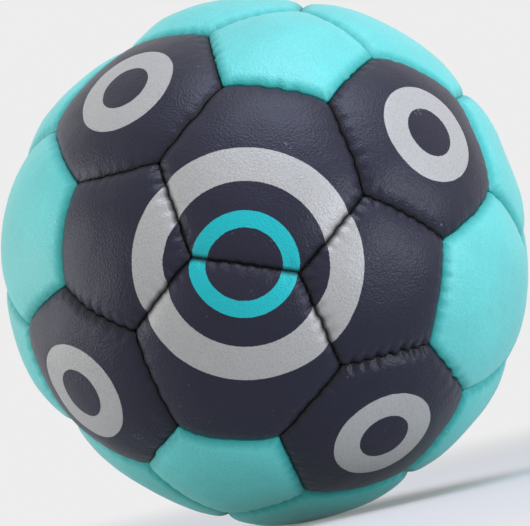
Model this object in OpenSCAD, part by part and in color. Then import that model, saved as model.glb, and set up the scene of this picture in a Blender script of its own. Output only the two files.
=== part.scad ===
// A hand-stitched ball of twelve pentagons and twenty hexagons, each one padded and
// lined, held out by a rubber bladder with an inflation valve.
// Millimetres. The origin is the ball's centre, +Z goes out through the valve,
// and -Y goes out through the middle of the ball's printed front.
// Left and right are as seen from the front.

/* [Ball] */
// Diameter over the crowns of the panels
ball_d = 188; // [150:1:192]
// How far a hexagon's crown falls from its middle to its sides, past the ball's own round
puff = 0.75; // [0.4:0.05:1.2]

/* [Cover panels] */
// Thickness of the coated skin
skin_t = 1.6; // [1.2:0.1:2]
// Radius of the edge that rolls down into a seam
roll_r = 4.6; // [4:0.1:5.2]
// How far a rolled edge is pressed flat against its neighbour
roll_press = 0.9; // [0.5:0.1:1.2]
// How deep the crown cuts into the round of a rolled edge
roll_cut = 0.15; // [0.1:0.05:0.4]
// Space between the two skins of a seam
seam_gap = 0.2; // [0.1:0.05:0.4]
// Radius of the nick at each corner of a skin, where three panels meet
nick_r = 1; // [0.8:0.1:1.5]

/* [Padding and lining] */
// Thickness of the foam pad under a skin
pad_t = 3.2; // [2.6:0.1:4]
// Thickness of the laminated cloth lining
lining_t = 1.2; // [0.8:0.1:1.6]
// Space between one layer and the next
layer_gap = 0.1; // [0.05:0.05:0.2]

/* [Stitching] */
// Breadth of the waxed thread, which lies flattened along the flanges
thread_d = 0.8; // [0.6:0.1:1]
// Distance from one stitch hole to the next
stitch_pitch = 4.8; // [4:0.1:6]
// Least distance from a seam's end to its first hole
stitch_margin = 3; // [2:0.5:5]
// Radial play of the thread in its hole
hole_play = 0.1; // [0.05:0.05:0.2]

/* [Bladder] */
// Thickness of the bladder's rubber wall
bladder_t = 0.9; // [0.6:0.1:1.5]
// Space between the bladder and what it presses on
bladder_gap = 0.3; // [0.1:0.1:0.5]

/* [Valve] */
// Diameter of the valve's stem
stem_d = 6.4; // [5.8:0.1:8]
// How far the stem's mouth lies under the crown of the panel
stem_sink = 0.9; // [0.5:0.1:1.5]
// Radial play of the stem in the panel, pad and lining
stem_play = 0.3; // [0.2:0.05:0.5]
// Diameter of the collar bonded under the bladder's wall
collar_d = 28; // [22:1:34]
// Thickness of that collar
collar_t = 1.2; // [0.8:0.1:2]
// Diameter of the valve's core inside the bladder
core_d = 10; // [9:0.5:12]
// How far the core reaches below the top of the collar
core_h = 14; // [12:0.5:18]
// Thickness of the core's closed end, which carries the insert
toe_t = 1.6; // [1:0.1:2.5]
// Diameter of the air hole in that end
air_hole_d = 2.6; // [2:0.1:3]

/* [Valve insert] */
// Diameter of the replaceable insert
insert_d = 4.6; // [4:0.1:5]
// Radial play of the insert in the valve
insert_play = 0.05; // [0.03:0.01:0.1]
// Diameter of the insert's retaining bead
bead_d = 6; // [5.6:0.1:7]
// Height of that bead
bead_h = 2; // [1.6:0.1:3]
// Height of the bead's foot above the insert's lower end
bead_up = 3; // [2:0.5:4]
// Diameter of the needle's guide bore
needle_d = 2; // [1.6:0.1:2.2]
// Depth of the guide bore below the insert's mouth
needle_h = 8; // [6:0.5:10]
// Diameter of the flare that leads a needle in
flare_d = 3.2; // [2.6:0.1:3.6]
// Depth of that flare
flare_h = 0.8; // [0.4:0.1:1.2]
// Width of the slit that closes behind a needle
slit_w = 0.2; // [0.1:0.05:0.3]
// Length of the slit across the insert
slit_l = 2.8; // [2.4:0.1:3.2]

/* [Hidden] */
$fn = 96;
NAVY = "#3b3a4c";
TEAL = "#45cdd0";
FOAM = "#e9e6dc";
CLOTH = "#d9d4c4";
THREAD = "#e4e2da";
RUBBER = "#4a4a4e";
VALVE_RUBBER = "#232326";

// Overrun of every cutting solid past the face that it cuts
over = 1;
// A stitch that is drawn tight is thinner than the slack thread, by this share
drawn_share = 0.85;

// Half the angle that a seam spans and the angles from each polygon's middle to its
// sides and corners, all seen from the ball's centre
PHI = (1 + sqrt(5)) / 2;
seam_half = asin(1 / sqrt(9 * PHI + 10));
pentagon_corner = atan(1 / PHI) - seam_half;
pentagon_side = atan(tan(pentagon_corner) * cos(180 / 5));
hexagon_side = atan(1 / (PHI * PHI));
hexagon_corner = atan(tan(hexagon_side) / cos(180 / 6));
function side_angle(n) = n == 6 ? hexagon_side : pentagon_side;
function corner_angle(n) = n == 6 ? hexagon_corner : pentagon_corner;

// Radii from the ball's centre, from the outside in
crown_top = ball_d / 2;
pad_floor = crown_top - skin_t - layer_gap - pad_t;
lining_top = pad_floor - layer_gap;
flange_end = lining_top - lining_t;
bladder_out = flange_end - bladder_gap;
bladder_in = bladder_out - bladder_t;

// A panel's crown is part of a smaller sphere, whose centre lies on the panel's axis
crown_side = crown_top - puff;
crown_up = (pow(crown_top, 2) - pow(crown_side, 2))
    / (2 * (crown_top - crown_side * cos(hexagon_side)));
crown_r = crown_top - crown_up;

// Radius from the ball's centre of the crown, at an angle from the panel's axis
function crown_at(a) = crown_up * cos(a) + sqrt(pow(crown_r, 2) - pow(crown_up * sin(a), 2));

// Centre of an edge's roll: its height over the seam plane, and its radius from the
// ball's centre, at which the crown cuts the roll off
roll_up = seam_gap / 2 + roll_r - roll_press;
function roll_out(n) = crown_at(side_angle(n) - asin(roll_up / crown_top)) + roll_cut - roll_r;

// The thread lies in a channel between the flanges, the lining and the pads
flange_in = seam_gap / 2 + skin_t;
thread_at = lining_top + layer_gap + thread_d / 2;
thread_up = flange_in + layer_gap + thread_d / 2;
pad_side = thread_up + thread_d / 2 + layer_gap;
stitch_step = 2 * asin(stitch_pitch / 2 / thread_at);
stitches = 1 + floor(2 * (seam_half - asin(stitch_margin / thread_at)) / stitch_step);

// Heights of the valve above the ball's centre
stem_top = crown_top - stem_sink;
collar_top = bladder_in - layer_gap;
core_foot = collar_top - core_h;
insert_foot = core_foot + toe_t + insert_play;
bead_foot = insert_foot + bead_up;
needle_foot = stem_top - needle_h;

// Every panel: its node, number of sides, colour, and where it faces while the ball
// still stands with a seam on top and the printed front's seam level
PANELS = [
    ["hexagon_front_centre_upper", 6, NAVY, [0, -PHI, 1 / PHI]],
    ["hexagon_front_centre_lower", 6, NAVY, [0, -PHI, -1 / PHI]],
    ["hexagon_front_upper_left", 6, NAVY, [-1, -1, 1]],
    ["hexagon_front_upper_right", 6, NAVY, [1, -1, 1]],
    ["hexagon_front_lower_left", 6, NAVY, [-1, -1, -1]],
    ["hexagon_front_lower_right", 6, NAVY, [1, -1, -1]],
    ["pentagon_front_left", 5, NAVY, [-1, -PHI, 0]],
    ["pentagon_front_right", 5, NAVY, [1, -PHI, 0]],
    ["hexagon_back_centre_upper", 6, NAVY, [0, PHI, 1 / PHI]],
    ["hexagon_back_centre_lower", 6, NAVY, [0, PHI, -1 / PHI]],
    ["hexagon_back_upper_left", 6, NAVY, [-1, 1, 1]],
    ["hexagon_back_upper_right", 6, NAVY, [1, 1, 1]],
    ["hexagon_back_lower_left", 6, NAVY, [-1, 1, -1]],
    ["hexagon_back_lower_right", 6, NAVY, [1, 1, -1]],
    ["pentagon_back_left", 5, NAVY, [-1, PHI, 0]],
    ["pentagon_back_right", 5, NAVY, [1, PHI, 0]],
    ["hexagon_top_valve", 6, TEAL, [-1 / PHI, 0, PHI]],
    ["hexagon_top_right", 6, TEAL, [1 / PHI, 0, PHI]],
    ["hexagon_bottom_left", 6, TEAL, [-1 / PHI, 0, -PHI]],
    ["hexagon_bottom_right", 6, TEAL, [1 / PHI, 0, -PHI]],
    ["hexagon_left_front", 6, TEAL, [-PHI, -1 / PHI, 0]],
    ["hexagon_left_back", 6, TEAL, [-PHI, 1 / PHI, 0]],
    ["hexagon_right_front", 6, TEAL, [PHI, -1 / PHI, 0]],
    ["hexagon_right_back", 6, TEAL, [PHI, 1 / PHI, 0]],
    ["pentagon_top_front", 5, TEAL, [0, -1, PHI]],
    ["pentagon_top_back", 5, TEAL, [0, 1, PHI]],
    ["pentagon_bottom_front", 5, TEAL, [0, -1, -PHI]],
    ["pentagon_bottom_back", 5, TEAL, [0, 1, -PHI]],
    ["pentagon_left_upper", 5, TEAL, [-PHI, 0, 1]],
    ["pentagon_left_lower", 5, TEAL, [-PHI, 0, -1]],
    ["pentagon_right_upper", 5, TEAL, [PHI, 0, 1]],
    ["pentagon_right_lower", 5, TEAL, [PHI, 0, -1]],
];
VALVE_PANEL = "hexagon_top_valve";

function unit(v) = v / norm(v);
function sides(p) = p[1];
function facing(p) = unit(p[3]);
function has_valve(p) = p[0] == VALVE_PANEL;
function of_sides(n) = [for (p = PANELS) if (sides(p) == n && !has_valve(p)) p];

// The direction square to z that leads towards v
function towards(v, z) = unit(v - (v * z) * z);
function frame_matrix(x, z) = let (y = cross(z, x)) [
    [x[0], y[0], z[0], 0],
    [x[1], y[1], z[1], 0],
    [x[2], y[2], z[2], 0],
    [0, 0, 0, 1],
];

// Two panels share a seam where their axes are as far apart as their sides allow
function between(p, q) = acos(facing(p) * facing(q));
function share_seam(p, q) = p != q && between(p, q) < 1.01 * (side_angle(sides(p)) + side_angle(sides(q)));
function neighbour(p) = [for (q = PANELS) if (share_seam(p, q)) q][0];
function seams_of(sum) = [
    for (i = [0:len(PANELS) - 1])
        for (j = [0:i])
            if (sides(PANELS[i]) + sides(PANELS[j]) == sum && share_seam(PANELS[i], PANELS[j]))
                [PANELS[i], PANELS[j]]
];

// Turns the whole ball so that the valve is on top
module valve_up() {
    rotate([0, hexagon_side, 0]) children();
}

// Puts what is built on +Z, with a side towards +X, where panel p faces
module on_panel(p) {
    z = facing(p);
    valve_up()
        multmatrix(frame_matrix(towards(facing(neighbour(p)), z), z))
            children();
}

// Puts what is built along a seam on the seam between p and q: the seam plane is
// X-Y there, +X goes out through the seam's middle, and +Z points into panel p
module on_seam(p, q) {
    z = facing(p);
    x = towards(facing(q), z);
    a = side_angle(sides(p));
    valve_up()
        multmatrix(frame_matrix(cos(a) * z + sin(a) * x, sin(a) * z - cos(a) * x))
            children();
}

// Puts what is built along a seam on side k of a polygon that is built on +Z
module on_side(n, k) {
    rotate([0, side_angle(n) - 90, k * 360 / n]) children();
}

// Outline of an edge, seen along the seam: radius along X, height over the seam plane
// along Y. A flange wall, then the roll, then open space where the crown takes over.
module edge_outline(n, inset, wall) {
    intersection() {
        translate([0, wall])
            square([crown_top + over, crown_top]);
        union() {
            square([roll_out(n), crown_top]);
            translate([roll_out(n), roll_up])
                circle(r = roll_r - inset);
            translate([0, roll_up])
                square([crown_top + over, crown_top]);
        }
    }
}

// Form of a panel, crowned and with rolled edges, drawn in by inset, with its flange
// walls at that height over the seam planes. Its crown is cut by one side after another.
module puffed(n, inset, wall, cuts) {
    intersection() {
        if (cuts > 1)
            puffed(n, inset, wall, cuts - 1);
        else
            translate([0, 0, crown_up])
                round_about(crown_r - inset);
        on_side(n, cuts)
            rotate_extrude()
                edge_outline(n, inset, wall);
    }
}

// The same form with a nick at every corner, down past the flanges
module nicked(n, inset, wall) {
    difference() {
        puffed(n, inset, wall, n);
        for (k = [0:n - 1])
            rotate([0, corner_angle(n), (k + 0.5) * 360 / n])
                translate([0, 0, flange_end - inset - over])
                    cylinder(r = nick_r + inset, h = crown_top);
    }
}

// The holes that the stitches go through, for one seam
module at_stitches() {
    for (k = [0:stitches - 1])
        rotate([0, 0, (k - (stitches - 1) / 2) * stitch_step])
            translate([thread_at, 0, 0])
                children();
}

// A sphere that lies with its poles to the sides of the panel that is built on +Z
module round_about(r) {
    rotate([90, 0, 0]) sphere(r = r);
}

module stem_hole() {
    cylinder(d = stem_d + 2 * stem_play, h = crown_top + over);
}

// Coated skin of a panel: crowned, rolled at its edges and turned in as flanges
module skin(n, pierced) {
    difference() {
        nicked(n, 0, seam_gap / 2);
        nicked(n, skin_t, flange_in);
        round_about(flange_end);
        for (k = [0:n - 1])
            on_side(n, k)
                at_stitches()
                    cylinder(d = thread_d + 2 * hole_play, h = flange_in + over);
        if (pierced)
            stem_hole();
    }
}

// Foam pad of a panel, from the lining up to the skin and clear of the thread
module pad(n, pierced) {
    color(FOAM)
        difference() {
            puffed(n, skin_t + layer_gap, pad_side, n);
            round_about(pad_floor);
            if (pierced)
                stem_hole();
        }
}

// Cloth lining of a panel, between the flanges and under the pad
module lining(n, pierced) {
    color(CLOTH)
        difference() {
            intersection() {
                round_about(lining_top);
                nicked(n, skin_t + layer_gap, flange_in + layer_gap);
            }
            round_about(flange_end);
            if (pierced)
                stem_hole();
        }
}

// Thread of one seam: a flattened row along each flange, joined by the round stitches
module seam_thread() {
    span = (stitches - 1) * stitch_step;
    color(THREAD) {
        for (side = [-1, 1])
            rotate_extrude(angle = span, start = -span / 2)
                translate([thread_at, side * thread_up])
                    square(thread_d, center = true);
        at_stitches()
            cylinder(d = drawn_share * thread_d, h = 2 * thread_up, center = true);
    }
}

module bladder() {
    color(RUBBER)
        difference() {
            sphere(r = bladder_out);
            sphere(r = bladder_in);
            cylinder(d = stem_d + 2 * layer_gap, h = crown_top);
        }
}

// Stem, collar and core in one moulding, with a socket that grips the insert
module valve_body() {
    color(VALVE_RUBBER)
        difference() {
            union() {
                intersection() {
                    difference() {
                        sphere(r = collar_top);
                        sphere(r = collar_top - collar_t);
                    }
                    cylinder(d = collar_d, h = crown_top);
                }
                translate([0, 0, core_foot])
                    cylinder(d = core_d, h = core_h - collar_t / 2);
                translate([0, 0, core_foot])
                    cylinder(d = stem_d, h = stem_top - core_foot);
            }
            translate([0, 0, insert_foot - insert_play])
                cylinder(d = insert_d + 2 * insert_play, h = crown_top);
            translate([0, 0, bead_foot - insert_play])
                bead(insert_play);
            translate([0, 0, core_foot - over])
                cylinder(d = air_hole_d, h = toe_t + 2 * over);
        }
}

// The insert's bead, or the groove for it, which is larger by play all round
module bead(play) {
    rotate_extrude()
        polygon([
            [0, 0],
            [insert_d / 2, 0],
            [bead_d / 2 + play, bead_h / 4],
            [bead_d / 2 + play, 3 * bead_h / 4 + 2 * play],
            [insert_d / 2, bead_h + 2 * play],
            [0, bead_h + 2 * play],
        ]);
}

// Soft plug with a flared guide for the needle, and the slit that shuts behind it
module valve_insert() {
    color(VALVE_RUBBER)
        difference() {
            union() {
                translate([0, 0, insert_foot])
                    cylinder(d = insert_d, h = stem_top - insert_foot);
                translate([0, 0, bead_foot])
                    bead(0);
            }
            translate([0, 0, needle_foot])
                cylinder(d = needle_d, h = needle_h + over);
            translate([0, 0, stem_top - flare_h])
                cylinder(d1 = needle_d, d2 = flare_d, h = flare_h);
            translate([-slit_l / 2, -slit_w / 2, insert_foot - over])
                cube([slit_l, slit_w, needle_foot - insert_foot + 2 * over]);
        }
}

for (p = PANELS)
    color(p[2]) on_panel(p) skin(sides(p), has_valve(p));

for (p = of_sides(6)) on_panel(p) pad(6, false);  // pads_of_hexagons
for (p = of_sides(5)) on_panel(p) pad(5, false);  // pads_of_pentagons
pad(6, true);  // pad_at_valve
for (p = of_sides(6)) on_panel(p) lining(6, false);  // linings_of_hexagons
for (p = of_sides(5)) on_panel(p) lining(5, false);  // linings_of_pentagons
lining(6, true);  // lining_at_valve
for (s = seams_of(6 + 6)) on_seam(s[0], s[1]) seam_thread();  // thread_between_hexagons
for (s = seams_of(6 + 5)) on_seam(s[0], s[1]) seam_thread();  // thread_round_pentagons
bladder();
valve_body();
valve_insert();
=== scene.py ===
"""Looks of a hand-stitched, padded handball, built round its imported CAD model."""

import logging
import math
from dataclasses import dataclass, field
from enum import Enum
from functools import partial

import bpy
import numpy as np
from mathutils import Matrix, Vector


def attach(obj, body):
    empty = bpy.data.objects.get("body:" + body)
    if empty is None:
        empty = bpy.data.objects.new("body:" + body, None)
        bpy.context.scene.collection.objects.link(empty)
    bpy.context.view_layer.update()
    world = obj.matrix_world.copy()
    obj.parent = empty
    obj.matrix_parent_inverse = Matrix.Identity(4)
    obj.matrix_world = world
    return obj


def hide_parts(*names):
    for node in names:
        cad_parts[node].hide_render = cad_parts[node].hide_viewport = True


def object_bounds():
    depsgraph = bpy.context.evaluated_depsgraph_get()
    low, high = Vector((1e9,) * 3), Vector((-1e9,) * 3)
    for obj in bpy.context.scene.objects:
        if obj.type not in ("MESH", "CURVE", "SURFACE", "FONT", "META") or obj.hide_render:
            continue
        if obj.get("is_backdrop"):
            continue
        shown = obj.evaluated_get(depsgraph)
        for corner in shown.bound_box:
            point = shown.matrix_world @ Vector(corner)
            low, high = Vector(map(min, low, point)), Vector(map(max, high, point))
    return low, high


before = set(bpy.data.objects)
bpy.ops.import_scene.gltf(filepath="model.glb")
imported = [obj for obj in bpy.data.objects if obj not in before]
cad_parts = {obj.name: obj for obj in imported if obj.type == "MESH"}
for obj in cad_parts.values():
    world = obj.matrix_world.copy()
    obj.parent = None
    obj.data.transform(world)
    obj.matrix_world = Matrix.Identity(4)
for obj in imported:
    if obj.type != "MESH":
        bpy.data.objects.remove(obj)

LOG = logging.getLogger("handball")
MM = 0.001

# Angles seen from the ball's centre: half a seam's length, and from the middle of a panel
# of 5 or 6 sides to its corners and to the middles of its sides.
PHI = (1 + math.sqrt(5)) / 2
SEAM_HALF = math.asin(1 / math.sqrt(9 * PHI + 10))
HEXAGON_SIDE = math.atan(1 / PHI**2)
CORNER_ANGLE = {5: math.atan(1 / PHI) - SEAM_HALF,
                6: math.atan(math.tan(HEXAGON_SIDE) / math.cos(math.pi / 6))}
SIDE_ANGLE = {5: math.atan(math.tan(CORNER_ANGLE[5]) * math.cos(math.pi / 5)), 6: HEXAGON_SIDE}

Facing = dict[str, tuple[float, float, float]]


def unit(v: np.ndarray) -> np.ndarray:
    """Vectors of length one along those given."""
    return v / np.linalg.norm(v, axis=-1, keepdims=True)


def to_linear(hex_colour: str) -> tuple[float, float, float, float]:
    """Turns an sRGB hex colour into the linear one that a shader takes.

    Args:
        hex_colour: Six hex digits after a #.

    Returns:
        Linear red, green and blue, and an alpha of 1.
    """
    parts = [int(hex_colour[i : i + 2], 16) / 255 for i in (1, 3, 5)]
    linear = [c / 12.92 if c <= 0.04045 else ((c + 0.055) / 1.055) ** 2.4 for c in parts]
    return (*linear, 1.0)


class Colour(Enum):
    """The two leathers that the cover is cut from, by their slot in the record."""

    NAVY = "cover_navy"
    TURQUOISE = "cover_turquoise"


# Every panel has its CAD node's name, and faces this way while the ball stands with a seam
# on top and the printed front's seam level. The back mirrors the front's navy panels.
NAVY_FRONT: Facing = {
    "hexagon_front_centre_upper": (0, -PHI, 1 / PHI),
    "hexagon_front_centre_lower": (0, -PHI, -1 / PHI),
    "hexagon_front_upper_left": (-1, -1, 1),
    "hexagon_front_upper_right": (1, -1, 1),
    "hexagon_front_lower_left": (-1, -1, -1),
    "hexagon_front_lower_right": (1, -1, -1),
    "pentagon_front_left": (-1, -PHI, 0),
    "pentagon_front_right": (1, -PHI, 0),
}
NAVY_BACK: Facing = {name.replace("front", "back"): (x, -y, z) for name, (x, y, z) in NAVY_FRONT.items()}
TURQUOISE_BAND: Facing = {
    "hexagon_top_valve": (-1 / PHI, 0, PHI),
    "hexagon_top_right": (1 / PHI, 0, PHI),
    "hexagon_bottom_left": (-1 / PHI, 0, -PHI),
    "hexagon_bottom_right": (1 / PHI, 0, -PHI),
    "hexagon_left_front": (-PHI, -1 / PHI, 0),
    "hexagon_left_back": (-PHI, 1 / PHI, 0),
    "hexagon_right_front": (PHI, -1 / PHI, 0),
    "hexagon_right_back": (PHI, 1 / PHI, 0),
    "pentagon_top_front": (0, -1, PHI),
    "pentagon_top_back": (0, 1, PHI),
    "pentagon_bottom_front": (0, -1, -PHI),
    "pentagon_bottom_back": (0, 1, -PHI),
    "pentagon_left_upper": (-PHI, 0, 1),
    "pentagon_left_lower": (-PHI, 0, -1),
    "pentagon_right_upper": (PHI, 0, 1),
    "pentagon_right_lower": (PHI, 0, -1),
}
PANELS: dict[Colour, Facing] = {Colour.NAVY: {**NAVY_FRONT, **NAVY_BACK}, Colour.TURQUOISE: TURQUOISE_BAND}
VALVE_PANEL = "hexagon_top_valve"

# Seams that the air pushes out of line: the panel that bulges, the one that gives way,
# and by how many millimetres at the seam's middle.
BOWS: dict[tuple[str, str], float] = {
    ("hexagon_front_centre_lower", "pentagon_bottom_front"): 2.8,
    ("hexagon_front_centre_upper", "pentagon_top_front"): 1.5,
    ("hexagon_front_upper_right", "hexagon_top_right"): 2.4,
    ("hexagon_right_front", "pentagon_front_right"): 1.5,
    ("hexagon_front_lower_right", "hexagon_bottom_right"): 1.8,
    ("hexagon_front_lower_left", "hexagon_left_front"): 0.8,
    ("hexagon_front_upper_left", "pentagon_front_left"): 1.2,
    ("hexagon_front_upper_left", "pentagon_left_upper"): 2.0,
    ("hexagon_front_upper_left", "hexagon_top_valve"): 1.2,
    ("hexagon_front_lower_right", "pentagon_right_lower"): 2.4,
    ("hexagon_front_lower_left", "pentagon_left_lower"): 1.2,
}

# Corners that lie out of place, by one panel and the two that meet it there, and how far
# they are shifted to the right, back and up as seen from the front, in millimetres.
SHIFTED_CORNERS: dict[str, dict[tuple[str, str], tuple[float, float, float]]] = {
    "hexagon_front_upper_left": {
        ("hexagon_front_centre_upper", "pentagon_front_left"): (0.0, 0.0, 1.0),
        ("pentagon_top_front", "hexagon_front_centre_upper"): (-0.5, 0.0, 2.5),
        ("hexagon_top_valve", "pentagon_top_front"): (0.0, 0.0, 2.0),
        ("pentagon_front_left", "hexagon_left_front"): (0.0, 0.0, 0.5),
        ("hexagon_left_front", "pentagon_left_upper"): (-2.5, 3.5, 0.0),
        ("hexagon_top_valve", "pentagon_left_upper"): (0.0, 4.0, 0.0),
    },
    "hexagon_front_upper_right": {
        ("pentagon_top_front", "hexagon_front_centre_upper"): (1.0, 0.0, 1.5),
        ("pentagon_top_front", "hexagon_top_right"): (1.0, 0.0, 1.0),
        ("pentagon_front_right", "hexagon_right_front"): (-2.0, 0.0, 0.0),
        ("hexagon_right_front", "pentagon_right_upper"): (1.0, 0.0, 0.5),
        ("hexagon_top_right", "pentagon_right_upper"): (2.0, 3.0, 1.0),
    },
    "hexagon_front_lower_left": {
        ("pentagon_front_left", "hexagon_left_front"): (3.0, 0.0, 0.0),
        ("hexagon_front_centre_lower", "pentagon_bottom_front"): (-1.0, 0.0, -3.0),
        ("pentagon_bottom_front", "hexagon_bottom_left"): (1.0, 0.0, 0.0),
        ("hexagon_left_front", "pentagon_left_lower"): (0.0, 0.0, 2.0),
        ("hexagon_bottom_left", "pentagon_left_lower"): (0.0, 2.0, 0.0),
    },
    "hexagon_front_lower_right": {
        ("pentagon_front_right", "hexagon_front_centre_lower"): (0.5, 0.0, -2.0),
        ("pentagon_front_right", "hexagon_right_front"): (-1.0, 0.0, -0.5),
        ("hexagon_front_centre_lower", "pentagon_bottom_front"): (0.0, 0.0, -0.5),
        ("pentagon_bottom_front", "hexagon_bottom_right"): (-1.5, 0.0, -2.0),
        ("hexagon_right_front", "pentagon_right_lower"): (2.0, 1.0, 0.0),
        ("hexagon_bottom_right", "pentagon_right_lower"): (0.0, 3.0, 0.0),
    },
    "hexagon_front_centre_upper": {
        ("hexagon_front_centre_lower", "pentagon_front_left"): (-1.5, 0.0, 0.0),
        ("hexagon_front_centre_lower", "pentagon_front_right"): (0.5, 0.0, -0.5),
    },
    "pentagon_top_front": {
        ("hexagon_top_valve", "hexagon_top_right"): (0.5, 0.0, 1.0),
    },
}

# Seams whose stitches pull hard enough to show, and by how many millimetres.
GATHERS: dict[tuple[str, str], float] = {
    ("pentagon_front_right", "hexagon_front_lower_right"): 0.85,
    ("pentagon_front_left", "hexagon_front_lower_left"): 0.6,
    ("hexagon_front_centre_upper", "pentagon_front_left"): 0.55,
    ("hexagon_front_centre_lower", "pentagon_front_right"): 0.6,
    ("hexagon_front_centre_upper", "pentagon_front_right"): 0.4,
    ("hexagon_front_centre_lower", "pentagon_front_left"): 0.4,
    ("hexagon_front_centre_upper", "hexagon_front_centre_lower"): 0.4,
    ("hexagon_front_centre_lower", "hexagon_front_lower_right"): 0.4,
    ("hexagon_front_upper_right", "pentagon_front_right"): 0.45,
}

# Places where the ball is out of round: the panels round each, and by how many millimetres.
# A panel that is named twice draws the place nearer to it.
SWELLS: list[tuple[tuple[str, ...], float]] = [
    (("hexagon_top_valve", "pentagon_left_upper", "pentagon_left_upper"), -2.5),
    (("hexagon_bottom_left",), -3.0),
    (("hexagon_front_lower_left", "hexagon_bottom_left", "pentagon_left_lower"), -1.5),
    (("pentagon_right_upper",), -1.0),
    (("pentagon_right_lower",), -1.0),
    (("hexagon_front_upper_left", "hexagon_top_valve", "pentagon_top_front"), -1.0),
    (("hexagon_top_valve", "hexagon_top_right", "pentagon_top_back"), -0.5),
    (("hexagon_back_upper_right", "hexagon_right_back", "pentagon_right_upper"), -0.5),
    (("hexagon_bottom_left", "hexagon_bottom_right", "pentagon_bottom_back"), 0.5),
    (("hexagon_top_valve", "hexagon_top_right", "pentagon_top_front"), 0.5),
    (("hexagon_back_upper_right", "hexagon_top_right", "pentagon_right_upper"), 0.5),
    (("hexagon_left_front",), 1.0),
    (("hexagon_right_front", "hexagon_right_back", "pentagon_right_lower"), 1.0),
    (("hexagon_left_front", "hexagon_left_back", "pentagon_left_upper"), 1.0),
    (("hexagon_left_front", "hexagon_left_back", "pentagon_left_lower"), 1.5),
    (("pentagon_bottom_front", "hexagon_bottom_left", "hexagon_bottom_right"), 1.5),
]


@dataclass(frozen=True)
class Ball:
    """Radii and thicknesses of the ball's layers, in millimetres.

    They are the CAD model's, but the threads lie a little deeper, the linings end a little
    further in, and the nicks at the panels' corners are smaller.
    """

    crown_top: float = 94.0
    puff: float = 0.75
    skin: float = 1.6
    seam_gap: float = 0.2
    pad_floor: float = 89.1
    lining_top: float = 89.0
    flange_end: float = 87.8
    thread_at: float = 89.3
    thread_up: float = 2.2
    pad_side: float = 2.7
    lining_side: float = 1.95
    nick: float = 0.6
    stem_hole: float = 3.5
    stitches: int = 7
    stitch_angle: float = math.radians(3.07)
    surface: float = 93.0

    @property
    def stitch_pitch(self) -> float:
        """Distance from one stitch to the next."""
        return self.stitch_angle * self.surface

    def crown_at(self, angle: np.ndarray) -> np.ndarray:
        """Radius of a panel's crown, before its edges roll down.

        Args:
            angle: Angles from the panel's middle, in radians.

        Returns:
            Radii from the ball's centre.
        """
        side = self.crown_top - self.puff
        up = (self.crown_top**2 - side**2) / (2 * (self.crown_top - side * math.cos(HEXAGON_SIDE)))
        radius = self.crown_top - up
        return up * np.cos(angle) + np.sqrt(radius**2 - (up * np.sin(angle)) ** 2)


@dataclass
class Unevenness:
    """Smooth, seeded unevenness of a surface: a sum of waves that run in every direction."""

    seed: int
    shortest: float
    longest: float
    height: float
    waves: int = 26
    ways: np.ndarray = field(init=False)
    phases: np.ndarray = field(init=False)

    def __post_init__(self) -> None:
        """Draws the waves."""
        rng = np.random.default_rng(self.seed)
        lengths = np.exp(rng.uniform(math.log(self.shortest), math.log(self.longest), self.waves))
        self.ways = unit(rng.normal(size=(self.waves, 3))) * (2 * math.pi / lengths)[:, None]
        self.phases = rng.uniform(0, 2 * math.pi, self.waves)

    def at(self, points: np.ndarray) -> np.ndarray:
        """Height of the unevenness at points that are in millimetres."""
        return self.height * np.sin(points @ self.ways.T + self.phases).sum(1) / math.sqrt(self.waves / 2)


@dataclass(eq=False)
class Seam:
    """One hand-stitched seam between two panels, with the unevenness that both share."""

    normal: np.ndarray
    middle: np.ndarray
    bow: float
    pull: np.ndarray
    slip: np.ndarray
    sway: np.ndarray
    ball: Ball
    pull_width: float = 1.15
    pull_reach: float = 2.3
    pull_peak: float = 1.4
    bow_reach: float = 11.0
    bow_end_share: float = 1.6

    @property
    def along(self) -> np.ndarray:
        """Direction that the seam runs in at its middle."""
        return np.cross(self.normal, self.middle)

    def place(self, d: np.ndarray) -> tuple[np.ndarray, np.ndarray]:
        """Where directions from the ball's centre lie: along the seam and off it, in millimetres."""
        r = self.ball.surface
        return r * np.arctan2(d @ self.along, d @ self.middle), r * np.arcsin(np.clip(d @ self.normal, -1, 1))

    def puckers(self, u: np.ndarray, v: np.ndarray) -> np.ndarray:
        """How far the stitches pull the leather in.

        Args:
            u: Places along the seam, in millimetres from its middle.
            v: Distances off the seam, in millimetres.

        Returns:
            Depths in millimetres.
        """
        total = np.zeros_like(u)
        for k, (pull, slip) in enumerate(zip(self.pull, self.slip)):
            at = (k - (self.ball.stitches - 1) / 2) * self.ball.stitch_pitch + slip
            total += pull * np.exp(-(((u - at) / self.pull_width) ** 2))
        return total * np.exp(-(((np.abs(v) - self.pull_peak) / self.pull_reach) ** 2))

    def lean(self, u: np.ndarray, v: np.ndarray) -> np.ndarray:
        """How far the seam strays sideways from a straight one, in millimetres."""
        half = SEAM_HALF * self.ball.surface
        t = np.clip(u / half, -1, 1)
        wave = sum(a * np.sin(u * f + p) for a, f, p in self.sway)
        stray = self.bow * (1 - t**2) + wave * (1 - t**2) ** 2
        return stray * np.exp(-((v / self.bow_reach) ** 2)) * (np.abs(u) < half * self.bow_end_share)


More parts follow.
